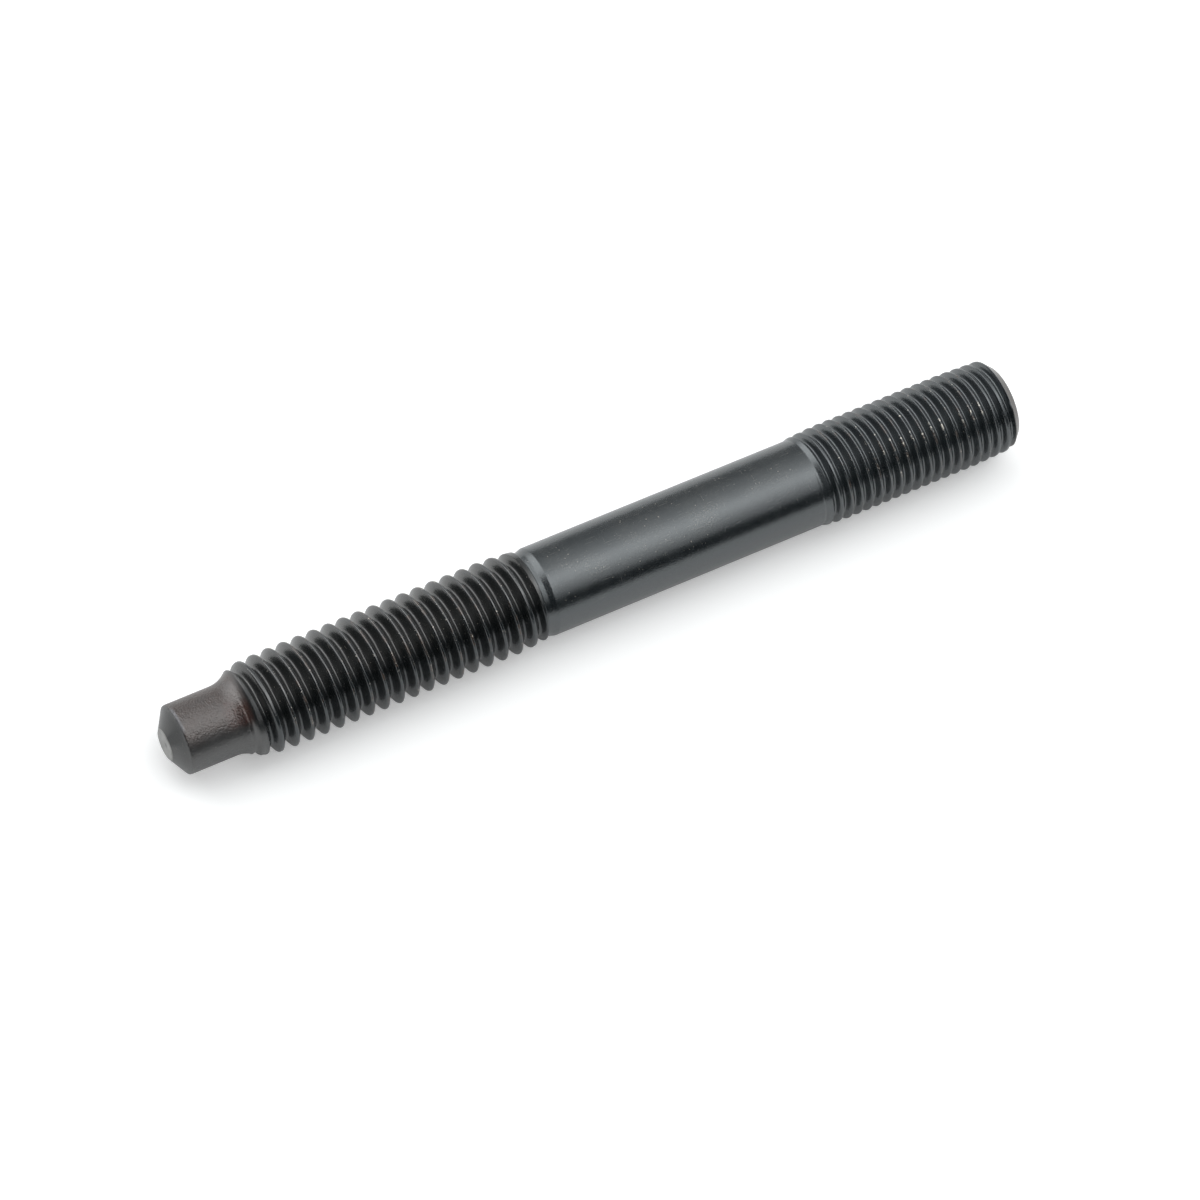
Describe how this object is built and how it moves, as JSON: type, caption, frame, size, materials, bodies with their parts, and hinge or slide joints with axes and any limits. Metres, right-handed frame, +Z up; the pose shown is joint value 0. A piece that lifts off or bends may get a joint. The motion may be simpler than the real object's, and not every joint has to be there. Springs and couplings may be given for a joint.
{
  "type": "double ended stud",
  "caption": "Steel stud with a coarse thread and dog-point nose at one end, a plain shank, and a fine thread with a chamfered end for a nut at the other.",
  "frame": {"origin": "On the axis at the shoulder, where the run-out of the block thread meets the plain shank.", "axes": "+X runs along the axis from the shoulder to the nut end, -X to the nose; +Z is up as the stud lies, and +Y completes the frame."},
  "size_m": [0.1043, 0.011, 0.011],
  "materials": {
    "black_oxide_steel": "black oxide"
  },
  "bodies": {
    "root": {"stud": "black_oxide_steel"}
  },
  "joints": []
}
